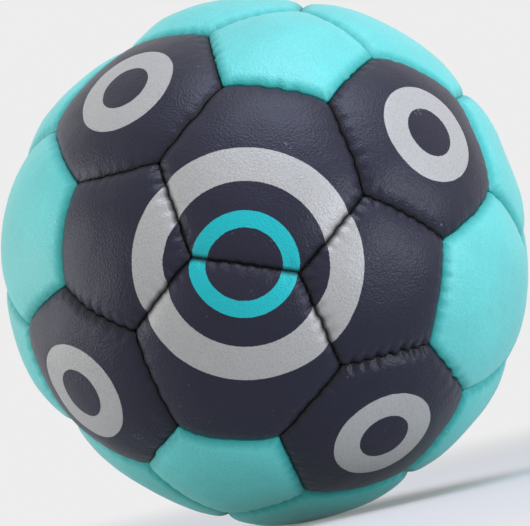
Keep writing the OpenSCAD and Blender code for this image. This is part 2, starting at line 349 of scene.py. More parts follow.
@dataclass(eq=False)
class Panel:
    """One polygon of the cover: its place, its own axes and the seams round it."""

    name: str
    colour: Colour
    z: np.ndarray
    x: np.ndarray = field(default=None)
    y: np.ndarray = field(default=None)
    seams: list[tuple[Seam, float]] = field(default_factory=list)

    @property
    def sides(self) -> int:
        """Number of sides, which the panel's name gives."""
        return 6 if self.name.startswith("hexagon") else 5

    @property
    def side_angle(self) -> float:
        """Angle from the panel's middle to the middle of a side."""
        return SIDE_ANGLE[self.sides]

    @property
    def own_seams(self) -> list[Seam]:
        """The seams round the panel."""
        return [seam for seam, _ in self.seams]

    def towards(self, other: "Panel") -> np.ndarray:
        """Direction square to this panel's axis that leads to another panel."""
        return unit(other.z - (other.z @ self.z) * self.z)

    def marks(self) -> tuple[np.ndarray, np.ndarray]:
        """Middles of the sides and corners, on the plane that touches the panel's middle."""
        turn = np.arange(self.sides) * 2 * math.pi / self.sides
        half = math.pi / self.sides
        reach = math.tan(self.side_angle)
        middles = reach * np.stack([np.cos(turn), np.sin(turn)], 1)
        corners = reach / math.cos(half) * np.stack([np.cos(turn + half), np.sin(turn + half)], 1)
        return middles, corners

    def rim(self, steps: int) -> np.ndarray:
        """Points all round the panel's sides on that plane, counterclockwise."""
        middles, corners = self.marks()
        t = (np.arange(steps) / steps)[:, None]
        parts = []
        for k in range(self.sides):
            after = middles[(k + 1) % self.sides]
            parts += [middles[k] + t * (corners[k] - middles[k]), corners[k] + t * (after - corners[k])]
        return np.concatenate(parts)

    def inset(self, rim: np.ndarray, off: float, surface: float) -> np.ndarray:
        """The rim drawn in so that it lies off the sides by a distance in millimetres."""
        reach = np.sqrt(1 + (rim**2).sum(1))
        return rim * (1 - math.sin(off / surface) * reach / math.sin(self.side_angle))[:, None]

    def directions(self, plane: np.ndarray) -> np.ndarray:
        """Directions from the ball's centre through points on that plane."""
        return unit(plane[:, :1] * self.x + plane[:, 1:] * self.y + self.z)

    def corner_directions(self) -> np.ndarray:
        """Directions from the ball's centre to the panel's corners."""
        return self.directions(self.marks()[1])


@dataclass(frozen=True)
class Handwork:
    """How unevenly the seams are sewn by hand, in millimetres where a name doesn't say otherwise."""

    bow: float = 0.35
    least_pull: float = 0.12
    more_pull: float = 0.3
    pull_power: float = 1.6
    pull_shares: tuple[float, float] = (0.5, 1.5)
    slip: float = 0.35
    sway: float = 0.16
    sways_per_mm: tuple[float, ...] = (0.22, 0.45, 0.9)
    sway_turn: float = 6.28
    gather_share: float = 0.45
    gather_turn: float = 1.2

    def seam(self, p: Panel, q: Panel, ball: Ball, rng: np.random.Generator) -> Seam:
        """Makes the seam between two panels, with its normal pointing into the first.

        Args:
            p: The first panel.
            q: The second.
            ball: Sizes of the ball.
            rng: Where the seam's unevenness is drawn from.

        Returns:
            The seam.
        """
        x = p.towards(q)
        a = p.side_angle
        bow = self.bow * rng.normal()
        if (p.name, q.name) in BOWS:
            bow = -BOWS[p.name, q.name]
        elif (q.name, p.name) in BOWS:
            bow = BOWS[q.name, p.name]
        strength = self.least_pull + self.more_pull * rng.random() ** self.pull_power
        strength = GATHERS.get((p.name, q.name), GATHERS.get((q.name, p.name), strength))
        sway = [(self.sway * rng.normal(), f, rng.uniform(0, self.sway_turn)) for f in self.sways_per_mm]
        sway.append((self.gather_share * strength, 2 * math.pi / ball.stitch_pitch, self.gather_turn))
        return Seam(
            normal=math.sin(a) * p.z - math.cos(a) * x,
            middle=math.cos(a) * p.z + math.sin(a) * x,
            bow=bow,
            pull=strength * rng.uniform(*self.pull_shares, ball.stitches),
            slip=rng.uniform(-self.slip, self.slip, ball.stitches),
            sway=np.array(sway),
            ball=ball,
        )


@dataclass
class Layout:
    """Where the 32 panels and 90 seams lie in the CAD model's frame, and how they stray from it.

    The reaches are in millimetres on the ball's surface.
    """

    ball: Ball
    seed: int
    handwork: Handwork = Handwork()
    touching: float = 1.01
    shift_reach: float = 13.0
    swell_reach: float = 23.0
    held_power: int = 6
    nick_reach: float = 6.0

    def __post_init__(self) -> None:
        """Places the panels, finds the seams that they share, and looks up what strays."""
        rng = np.random.default_rng(self.seed)
        c, s = math.cos(HEXAGON_SIDE), math.sin(HEXAGON_SIDE)
        self.valve_up = np.array([[c, 0, s], [0, 1, 0], [-s, 0, c]])
        self.panels = [Panel(name, colour, self.valve_up @ unit(np.array(to, float)))
                       for colour, facing in PANELS.items() for name, to in facing.items()]
        by_name = {p.name: p for p in self.panels}
        self.valve = by_name[VALVE_PANEL].z
        self.seams: list[tuple[Seam, tuple[Panel, Panel]]] = []
        for i, p in enumerate(self.panels):
            for q in self.panels[:i]:
                if math.acos(np.clip(p.z @ q.z, -1, 1)) < self.touching * (p.side_angle + q.side_angle):
                    self.seams.append((self.handwork.seam(p, q, self.ball, rng), (p, q)))
        for p in self.panels:
            self._turn(p)
        self.shifts = [(unit(self._corner([by_name[n] for n in (name, *others)])), np.array(shift))
                       for name, corners in SHIFTED_CORNERS.items() for others, shift in corners.items()]
        self.swells = [(unit(sum(by_name[n].z for n in names)), mm) for names, mm in SWELLS]

    def _turn(self, p: Panel) -> None:
        """Points a panel's X axis at the first of its neighbours, and lists the seams round it."""
        near = [(q if first is p else first, seam, 1.0 if first is p else -1.0)
                for seam, (first, q) in self.seams if p in (first, q)]
        p.x = p.towards(near[0][0])
        p.y = np.cross(p.z, p.x)
        p.seams = [row[1:] for row in near]

    def _corner(self, meeting: list[Panel]) -> np.ndarray:
        """Direction to the corner where three panels meet."""
        cosines = [math.cos(CORNER_ANGLE[p.sides]) for p in meeting]
        return np.linalg.solve(np.array([p.z for p in meeting]), cosines)

    def swollen(self, d: np.ndarray) -> np.ndarray:
        """How far the ball stands out of round in some directions, in millimetres.

        The valve holds its panel round.

        Args:
            d: Directions from the ball's centre.

        Returns:
            Heights in millimetres.
        """
        reach = self.swell_reach / self.ball.surface
        held = np.exp(-((np.linalg.norm(d - self.valve, axis=1) / reach) ** self.held_power))
        swell = sum(mm * np.exp(-((np.linalg.norm(d - to, axis=1) / reach) ** 2)) for to, mm in self.swells)
        return swell * (1 - held)

    def nicked(self, panel: Panel, d: np.ndarray) -> np.ndarray:
        """Directions eased away from the panel's corners, which rounds them off."""
        r = self.ball.surface
        for c in panel.corner_directions():
            away = d - c
            q = r * np.linalg.norm(away, axis=1, keepdims=True)
            new = np.sqrt(q**2 + (self.ball.nick * np.exp(-((q / self.nick_reach) ** 2))) ** 2)
            d = unit(c + away * new / np.maximum(q, 1e-6))
        return d

    def survey(self, panel: Panel, plane: np.ndarray) -> tuple[np.ndarray, np.ndarray, np.ndarray]:
        """Looks up points on a panel's plane.

        Args:
            panel: The panel.
            plane: Points on the plane that touches its middle.

        Returns:
            Directions from the ball's centre, and their places along and off each seam.
        """
        d = self.nicked(panel, panel.directions(plane))
        places = [seam.place(d) for seam in panel.own_seams]
        along = np.array([u for u, _ in places])
        off = np.array([v * sign for (_, v), (_, sign) in zip(places, panel.seams)])
        return d, along, off

    def strayed(self, seams: list[Seam], d: np.ndarray) -> np.ndarray:
        """Directions moved as the real ball's seams and corners stray from the even ones."""
        r = self.ball.surface
        move = np.zeros_like(d)
        for seam in seams:
            u, v = seam.place(d)
            move += seam.lean(u, v)[:, None] * seam.normal
        for corner, shift in self.shifts:
            near = np.exp(-((r * np.linalg.norm(d - corner, axis=1) / self.shift_reach) ** 2))
            move += near[:, None] * (shift - (shift @ corner) * corner)
        return unit(d + move / r)


@dataclass(frozen=True)
class Relief:
    """How a padded panel's face falls towards its stitched sides, in millimetres."""

    shoulder_reach: float = 20.0
    shoulder_drop: float = 1.75
    roll_reach: float = 4.6
    roll_drop: float = 1.8
    roll_steepest: float = 0.995
    wrinkle_height: float = 0.09
    wrinkle_peak: float = 3.0
    wrinkle_reach: float = 8.0
    wrinkles_round: int = 8
    wrinkle_turns: tuple[float, float, float] = (2.4, 7.0, 3.0)
    broad: Unevenness = field(default_factory=lambda: Unevenness(11, 26, 60, 0.16))
    dents: Unevenness = field(default_factory=lambda: Unevenness(12, 7, 16, 0.028))

    def drop(self, off: np.ndarray) -> np.ndarray:
        """How far the face lies under its crown, at distances off every side."""
        off = np.maximum(off, 0)
        shoulder = self.shoulder_drop * np.clip(1 - off / self.shoulder_reach, 0, 1) ** 2
        t = np.clip(1 - off / self.roll_reach, 0, self.roll_steepest)
        roll = self.roll_drop * (1 - np.sqrt(1 - t**2))
        return np.sqrt(((shoulder + roll) ** 2).sum(0))

    def radius(
        self, layout: Layout, panel: Panel, d: np.ndarray, along: np.ndarray, off: np.ndarray, fine: bool
    ) -> np.ndarray:
        """Radius of a panel's outer face.

        Args:
            layout: The panels and seams.
            panel: The panel.
            d: Directions from the ball's centre.
            along: Their places along each seam.
            off: Their distances off each seam.
            fine: Whether the stitches' puckers and the wrinkles are included.

        Returns:
            Radii in millimetres.
        """
        points = d * layout.ball.surface
        r = layout.ball.crown_at(np.arccos(np.clip(d @ panel.z, -1, 1))) - self.drop(off)
        r += self.broad.at(points) + layout.swollen(d)
        if fine:
            for seam, u, v in zip(panel.own_seams, along, off):
                r -= seam.puckers(u, v)
            r += self.dents.at(points) + self.wrinkles(layout.ball, panel, d)
        return r

    def wrinkles(self, ball: Ball, panel: Panel, d: np.ndarray) -> np.ndarray:
        """Short creases that run out of each corner, where three pulls meet."""
        total = np.zeros(len(d))
        for k, c in enumerate(panel.corner_directions()):
            inward = unit(panel.z - (panel.z @ c) * c)
            away = ball.surface * (d - c)
            q = np.linalg.norm(away, axis=1)
            turn = np.arctan2(away @ np.cross(c, inward), away @ inward)
            phase = np.dot(self.wrinkle_turns, (k, panel.z[0], panel.z[2]))
            rise = q / self.wrinkle_peak * np.exp(1 - q / self.wrinkle_peak)
            fade = np.exp(-((q / self.wrinkle_reach) ** 2))
            total += np.sin(self.wrinkles_round * turn + phase) * rise * fade
        return self.wrinkle_height * total


class Shell:
    """Points and faces of one closed piece, gathered ring by ring."""

    def __init__(self) -> None:
        """Starts with nothing."""
        self.points: list[np.ndarray] = []
        self.off: list[np.ndarray] = []
        self.prints: list[np.ndarray] = []
        self.faces: list[list[int]] = []
        self.count = 0

    def add(
        self, points: np.ndarray, off: np.ndarray | float = 0.0, prints: np.ndarray | None = None
    ) -> np.ndarray:
        """Adds points with their notes for the shader.

        Args:
            points: Points in millimetres.
            off: Distance of each to the nearest seam, in millimetres.
            prints: Where each lies on the flat print, in millimetres.

        Returns:
            The points' numbers.
        """
        self.points.append(points)
        self.off.append(np.broadcast_to(np.asarray(off, float), len(points)))
        self.prints.append(points if prints is None else prints)
        self.count += len(points)
        return np.arange(self.count - len(points), self.count)

    def quads(self, a: np.ndarray, b: np.ndarray, c: np.ndarray, d: np.ndarray) -> None:
        """Adds one four-sided face for each row of the four lists."""
        self.faces += np.stack([a, b, c, d], 1).tolist()

    def strip(self, inner: np.ndarray, outer: np.ndarray) -> np.ndarray:
        """Joins two closed rings of equal length, and returns the second."""
        self.quads(inner, outer, np.roll(outer, -1), np.roll(inner, -1))
        return outer

    def fan(self, middle: int, ring: np.ndarray, upward: bool) -> None:
        """Closes a ring round one point."""
        after = np.roll(ring, -1)
        pair = (ring, after) if upward else (after, ring)
        self.faces += np.stack([np.full(len(ring), middle), *pair], 1).tolist()

    def build(self, name: str, material: bpy.types.Material) -> bpy.types.Object:
        """Makes the Blender object, in metres, with the notes as attributes."""
        mesh = bpy.data.meshes.new(name)
        mesh.from_pydata((np.concatenate(self.points) * MM).tolist(), [], self.faces)
        mesh.polygons.foreach_set("use_smooth", np.ones(len(mesh.polygons), bool))
        notes = (("seam_mm", "FLOAT", "value", self.off), ("print_mm", "FLOAT_VECTOR", "vector", self.prints))
        for note, kind, key, values in notes:
            data = mesh.attributes.new(note, kind, "POINT").data
            data.foreach_set(key, np.concatenate(values).astype(np.float32).ravel())
        mesh.materials.append(material)
        mesh.update()
        obj = bpy.data.objects.new(name, mesh)
        bpy.context.scene.collection.objects.link(obj)
        return obj

    def piece(
        self, name: str, material: bpy.types.Material, node: str, slot: str, fill: float | None = None
    ) -> None:
        """Makes one piece of the ball, and says what it belongs to.

        Args:
            name: Name of the piece.
            material: Its finish.
            node: The CAD node that it replaces.
            slot: Not used.
            fill: Not used.
        """
        obj = self.build(name, material)
        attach(obj, "root")
        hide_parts(node)
        LOG.info("%s: %d faces", obj.name, len(obj.data.polygons))


@dataclass
class CoverPanels:
    """The 32 leather skins, each a closed shell that is rolled at its edges and turned in.

    Rows lie a number of millimetres off the seams, and field rows at a share of the way out
    to the first of them.
    """

    layout: Layout
    relief: Relief
    steps: int = 34
    rows: tuple[float, ...] = (9.0, 8.1, 7.2, 6.4, 5.7, 5.0, 4.4, 3.85, 3.3, 2.8, 2.35, 1.95, 1.6, 1.3, 1.02,
                               0.78, 0.57, 0.4, 0.27, 0.17, 0.1)
    first_row: float = 10.0
    valve_rows: tuple[float, ...] = (0.0, 0.012, 0.03, 0.06, 0.1, 0.15, 0.22, 0.3, 0.4, 0.5, 0.6, 0.7, 0.8,
                                     0.9, 1.0)
    # Rows of the skin's inner side, and how far under the face each of them lies.
    back_rows: tuple[tuple[float, float], ...] = ((2.3, 1.9), (3.2, 1.75), (4.6, 1.65), (7.0, 1.6),
                                                  (10.0, 1.6))
    back_field_rows: tuple[float, ...] = (0.75, 0.5)
    back_middle_row: float = 0.2
    flange_middle: float = 88.6
    flange_root: float = 89.6
    hole_sunk: float = 0.35
    hole_edge: float = 0.25
    first_seed: int = 500
    misprint: float = 0.45

    def build(self, finishes: dict[Colour, bpy.types.Material]) -> None:
        """Builds, dresses and places every skin.

        Args:
            finishes: The material of each leather.
        """
        for i, panel in enumerate(self.layout.panels):
            shell = self._skin(panel, np.random.default_rng(self.first_seed + i))
            finish = finishes[panel.colour]
            shell.piece(f"{panel.name}_skin", finish, panel.name, panel.colour.value, fill=0.9)

    def _outer(self, panel: Panel, plane: np.ndarray, shift: np.ndarray, shell: Shell) -> np.ndarray:
        """Adds points of the outer face and returns their numbers."""
        layout = self.layout
        d, along, off = layout.survey(panel, plane)
        r = self.relief.radius(layout, panel, d, along, off, True)
        out = layout.strayed(panel.own_seams, d) * r[:, None]
        return shell.add(out, off.min(0), d @ layout.valve_up * layout.ball.crown_top + shift)

    def _inner(
        self, panel: Panel, plane: np.ndarray, radius: float, under: float, shell: Shell
    ) -> np.ndarray:
        """Adds a ring at a radius from the ball's centre, or lower where it must stay under the face."""
        layout = self.layout
        d, along, off = layout.survey(panel, plane)
        face = self.relief.radius(layout, panel, d, along, off, False)
        r = np.minimum(radius + layout.swollen(d), face - under)
        return shell.add(layout.strayed(panel.own_seams, d) * r[:, None])

    def _skin(self, panel: Panel, rng: np.random.Generator) -> Shell:
        """Builds one skin: its face, its rolled edges, its flanges and its inner side."""
        ball = self.layout.ball
        shell = Shell()
        shift = rng.uniform(-self.misprint, self.misprint, 3)
        rim = panel.rim(self.steps)
        scale = 1 - math.sin(self.first_row / ball.surface) / math.sin(panel.side_angle)
        pierced = panel.name == VALVE_PANEL
        opening = unit(rim) * ball.stem_hole / ball.crown_top
        if pierced:
            first = self._inner(panel, opening, ball.crown_top, self.hole_sunk, shell)
            ring = self._face_round_valve(panel, rim * scale, first, shift, shell)
        else:
            ring = self._face(panel, scale, shift, shell)
        for off in self.rows:
            ring = shell.strip(ring, self._outer(panel, panel.inset(rim, off, ball.surface), shift, shell))
        edge = panel.inset(rim, ball.seam_gap / 2, ball.surface)
        back = panel.inset(rim, ball.seam_gap / 2 + ball.skin, ball.surface)
        end, high = ball.flange_end, ball.crown_top
        # Down the flange's outside, up its back and over the inner side: each ring's plane, its
        # radius, and how far under the face it stays at least.
        steps = [(edge, high, 0.5), (edge, self.flange_middle, 0.8), (edge, end, 1.2),
                 (back, end, 1.2), (back, self.flange_middle, 1.6), (back, self.flange_root, 1.5)]
        steps += [(panel.inset(rim, off, ball.surface), high, under) for off, under in self.back_rows]
        steps += [(rim * scale * share, high, ball.skin) for share in self.back_field_rows]
        steps.append((opening if pierced else rim * scale * self.back_middle_row, high, ball.skin))
        for plane, radius, under in steps:
            ring = shell.strip(ring, self._inner(panel, plane, radius, under, shell))
        if pierced:
            shell.strip(ring, first)
        else:
            middle = self._inner(panel, np.zeros((1, 2)), high, ball.skin, shell)
            shell.fan(int(middle[0]), ring, False)
        return shell

    def _face(self, panel: Panel, scale: float, shift: np.ndarray, shell: Shell) -> np.ndarray:
        """Adds the face's inner field, and returns the ring that bounds it."""
        m, n = self.steps, panel.sides
        middles, corners = panel.marks()
        a, b = np.meshgrid(np.arange(1, m + 1) / m, np.arange(m + 1) / m, indexing="ij")
        a, b = a.reshape(-1, 1), b.reshape(-1, 1)
        patches = [np.zeros((1, 2))]
        for k in range(n):
            after = middles[(k + 1) % n]
            patches.append(scale * (a * (1 - b) * middles[k] + a * b * corners[k] + (1 - a) * b * after))
        first = self._outer(panel, np.concatenate(patches), shift, shell)[0]

        def number(k: int, i: np.ndarray, j: np.ndarray) -> np.ndarray:
            """Numbers of the points at steps i and j of patch k."""
            own = 1 + (k % n) * m * (m + 1) + (i - 1) * (m + 1) + j
            after = 1 + ((k + 1) % n) * m * (m + 1) + (j - 1) * (m + 1)
            return first + np.where(i > 0, own, np.where(j > 0, after, 0))

        i, j = (x.ravel() for x in np.meshgrid(np.arange(m), np.arange(m), indexing="ij"))
        ring = []
        up, down = np.arange(m), np.arange(m, 0, -1)
        for k in range(n):
            shell.quads(number(k, i, j), number(k, i + 1, j), number(k, i + 1, j + 1), number(k, i, j + 1))
            ring += [number(k, np.full(m, m), up), number(k, down, np.full(m, m))]
        return np.concatenate(ring)

    def _face_round_valve(
        self, panel: Panel, far: np.ndarray, ring: np.ndarray, shift: np.ndarray, shell: Shell
    ) -> np.ndarray:
        """Adds the field from the ring at the valve's hole out to a far ring, and returns its outer ring."""
        ball = self.layout.ball
        rounded = unit(far) * (ball.stem_hole + self.hole_edge) / ball.crown_top
        for share in self.valve_rows:
            ring = shell.strip(ring, self._outer(panel, rounded + share * (far - rounded), shift, shell))
        return ring


@dataclass
class InnerLayer:
    """One layer behind the skins, a closed shell for each panel, gathered by CAD node.

    Its names begin those of its pieces and nodes. Its sizes are in millimetres. Without a
    ceiling it reaches up under the skin.
    """

    layout: Layout
    relief: Relief
    name: str
    node: str
    slot: str
    material: bpy.types.Material
    side: float
    floor: float
    rounding: float
    under: float = 0.0
    ceiling: float | None = None
    least: float = 0.4
    steps: int = 9
    rows: tuple[float, ...] = (6.0, 2.0, 0.6, 0.0)
    field_rows: tuple[float, float] = (0.35, 0.7)
    field_rows_round_valve: tuple[float, float] = (0.45, 0.7)

    def build(self, which: str, panels: list[Panel]) -> None:
        """Builds the layer's shells for some panels as one piece.

        Args:
            which: End of the names of the piece and of the CAD node that it replaces.
            panels: The panels that the shells lie behind.
        """
        shell = Shell()
        for panel in panels:
            self._one(panel, shell)
        shell.piece(self.name + which, self.material, self.node + which, self.slot, fill=1.0)

    def _one(self, panel: Panel, shell: Shell) -> None:
        """Adds one shell: out over its top, down its side and back along its floor."""
        layout, ball = self.layout, self.layout.ball
        rim = panel.rim(self.steps)
        pierced = panel.name == VALVE_PANEL
        hole = unit(rim) * ball.stem_hole / ball.crown_top

        def ring(plane: np.ndarray, low: bool, lower: float = 0.0) -> np.ndarray:
            """Adds a ring on the floor, or on top and lower by some millimetres."""
            d, along, off = layout.survey(panel, plane)
            swell = layout.swollen(d)
            r = self.floor + swell
            if not low:
                top = self.relief.radius(layout, panel, d, along, off, False) - self.under
                top = top if self.ceiling is None else self.ceiling + swell
                r = np.maximum(top - lower, r + self.least)
            return shell.add(layout.strayed(panel.own_seams, d) * r[:, None])

        insets = [panel.inset(rim, self.side + off, ball.surface) for off in self.rows]
        shares = self.field_rows_round_valve if pierced else self.field_rows
        planes = ([hole] if pierced else []) + [insets[0] * share for share in shares]
        rings = [ring(plane, False) for plane in planes + insets[:-1]]
        rings.append(ring(insets[-1], False, self.rounding))
        rings += [ring(plane, True) for plane in [insets[-1], *insets[1::-1], *planes[::-1]]]
        for before, after in zip(rings, rings[1:]):
            shell.strip(before, after)
        if pierced:
            shell.strip(rings[-1], rings[0])
        else:
            middle = np.zeros((1, 2))
            shell.fan(int(ring(middle, False)[0]), rings[0], True)
            shell.fan(int(ring(middle, True)[0]), rings[-1], False)


@dataclass
class Bladder:
    """The rubber bladder: a hollow shell with a hole for the valve's stem, out of round as the ball is."""

    layout: Layout
    outside: float = 87.5
    wall: float = 0.9
    hole: float = 3.3
    rings: int = 60
    around: int = 120

    def build(self, material: bpy.types.Material) -> None:
        """Builds the shell, from the hole over the outside to the far pole, and back inside.

        Args:
            material: Its finish.
        """
        up = self.layout.valve
        x = unit(np.cross((0.0, 1.0, 0.0), up))
        turn = np.arange(self.around) * 2 * math.pi / self.around
        circle = np.cos(turn)[:, None] * x + np.sin(turn)[:, None] * np.cross(up, x)
        shell = Shell()

        def add(d: np.ndarray, radius: float) -> np.ndarray:
            """Adds points at a radius that swells as the ball does."""
            return shell.add(d * (radius + self.layout.swollen(d))[:, None])

        poles, sides = [], []
        for radius in (self.outside, self.outside - self.wall):
            tilts = np.linspace(math.asin(self.hole / radius), math.pi, self.rings + 1)[:-1]
            sides.append([add(math.cos(tilt) * up + math.sin(tilt) * circle, radius) for tilt in tilts])
            poles.append(int(add(-up[None], radius)[0]))
        outer, inner = sides
        for k in range(self.rings - 1):
            shell.strip(outer[k], outer[k + 1])
            shell.strip(inner[k + 1], inner[k])
        shell.strip(inner[0], outer[0])
        shell.fan(poles[0], outer[-1], False)
        shell.fan(poles[1], inner[-1], True)
        shell.piece("air_bladder", material, "bladder", "bladder_rubber")


@dataclass
class SeamThread:
    """Waxed thread: a row along each flange, joined by the stitches that go through both."""

    layout: Layout
    material: bpy.types.Material
    radius: float = 0.38
    drawn: float = 0.32
    around: int = 8
    slack: float = 0.06
    sunk: float = 1.0
    row_steps: int = 8
    stitch_steps: int = 9

    def build(self, name: str, sides: set[int], node: str) -> None:
        """Builds the thread of all seams between panels of some kinds.

        Args:
            name: Name of the piece.
            sides: The numbers of sides that the seam's two panels have between them.
            node: The CAD node that the piece replaces.
        """
        shell = Shell()
        for seam, pair in self.layout.seams:
            if {panel.sides for panel in pair} == sides:
                self._seam(seam, shell)
        shell.piece(name, self.material, node, "waxed_thread")

    def _seam(self, seam: Seam, shell: Shell) -> None:
        """Adds the two rows and the stitches of one seam."""
        ball = self.layout.ball
        reach = (ball.stitches - 1) / 2
        t = np.linspace(-reach, reach, self.row_steps * (ball.stitches - 1) + 1)
        lift = self.slack * np.sin(math.pi * t) ** 2
        for side in (-1, 1):
            off = np.full_like(t, side * ball.thread_up)
            self._tube(seam, t * ball.stitch_angle, off, ball.thread_at + lift, self.radius, shell)
        for k in range(ball.stitches):
            across = np.linspace(-ball.thread_up, ball.thread_up, self.stitch_steps)
            turn = np.full_like(across, (k - reach) * ball.stitch_angle)
            radius = ball.thread_at - self.sunk * (1 - (across / ball.thread_up) ** 2)
            self._tube(seam, turn, across, radius, self.drawn, shell)

    def _tube(
        self, seam: Seam, turn: np.ndarray, off: np.ndarray, radius: np.ndarray, thick: float, shell: Shell
    ) -> None:
        """Adds a round tube along a line, given by its turn along the seam, its offset and its radius."""
        d = np.cos(turn)[:, None] * seam.middle + np.sin(turn)[:, None] * seam.along
        d = unit(d + (off / self.layout.ball.thread_at)[:, None] * seam.normal)
        line = self.layout.strayed([seam], d) * (radius + self.layout.swollen(d))[:, None]
        ahead = unit(np.gradient(line, axis=0))
        out = unit(line - (line * ahead).sum(1, keepdims=True) * ahead)
        beside = np.cross(ahead, out)
        angle = np.arange(self.around) * 2 * math.pi / self.around
        rings = []
        for i in range(len(line)):
            circle = np.cos(angle)[:, None] * out[i] + np.sin(angle)[:, None] * beside[i]
            rings.append(shell.add(line[i] + thick * circle))
        for before, after in zip(rings, rings[1:]):
            shell.strip(after, before)
        shell.fan(int(shell.add(line[:1])[0]), rings[0], False)
        shell.fan(int(shell.add(line[-1:])[0]), rings[-1], True)


def feed(node: bpy.types.Node, sockets: dict) -> None:
    """Sets or links a shader node's inputs.

    Args:
        node: The node.
        sockets: Input name or number, with its value or the output that feeds it.
    """
    for key, value in sockets.items():
        if isinstance(value, bpy.types.NodeSocket):
            node.id_data.links.new(value, node.inputs[key])
        else:
            node.inputs[key].default_value = value


def add_node(
    tree: bpy.types.NodeTree, kind: str, sockets: dict | None = None, **settings: object
) -> bpy.types.Node:
    """Adds a shader node with its settings, values and links.

    Args:
        tree: The material's or world's node tree.
        kind: Blender's name for the node, without its leading ShaderNode.
        sockets: Input name or number, with its value or the output that feeds it.
        **settings: The node's own settings.

    Returns:
        The new node.
    """
    node = tree.nodes.new("ShaderNode" + kind)
    for key, value in settings.items():
        setattr(node, key, value)
    feed(node, sockets or {})
    return node


def seen_directly(tree: bpy.types.NodeTree) -> bpy.types.NodeSocket:
    """Adds nodes that give 1 to what the camera sees, mirrored too, and 0 to what only lights."""
    rays = add_node(tree, "LightPath").outputs
    seen = rays["Is Camera Ray"]
    for other in ("Is Glossy Ray", "Is Transmission Ray"):
        seen = add_node(tree, "Math", {0: seen, 1: rays[other]}, operation="MAXIMUM").outputs[0]
    return seen


# Most of what Blender's noise gives lies between these.
NOISE_LOW, NOISE_HIGH = 0.3, 0.7


def scale_for(mm: float) -> float:
    """Scale of a noise or cell pattern whose parts are some millimetres across."""
    return 1 / (mm * MM)


def wave_scale_for(mm: float) -> float:
    """Scale of a pattern of waves that are some millimetres apart: Blender's own are a tenth of pi."""
    return math.pi / 10 / (mm * MM)


class Surface:
    """A material in the making: its tree and what adds a node to it, its shader, and each point's place."""

    def __init__(self, name: str) -> None:
        """Starts the material."""
        self.material = bpy.data.materials.new(name)
        self.material.use_nodes = True
        self.tree = self.material.node_tree
        self.add = partial(add_node, self.tree)
        self.shader = self.tree.nodes["Principled BSDF"]
        self.place = self.add("TexCoord").outputs["Object"]


@dataclass(frozen=True)
class Ink:
    """Screen-printed polyurethane ink, thin enough to take on the leather's grain."""

    colour: str
    metallic: float
    pinholes: float


@dataclass(frozen=True)
class Ring:
    """A printed ring about a direction and its mirror images, in millimetres of arc."""

    about: tuple[float, float, float]
    inner: float
    outer: float
    ink: Ink

    def reach(self, crown: float) -> tuple[float, float]:
        """Middle and half width of the ring, measured square to the axis through its middle."""
        inner, outer = (crown * math.sin(r / crown) for r in (self.inner, self.outer))
        return (inner + outer) / 2, (outer - inner) / 2


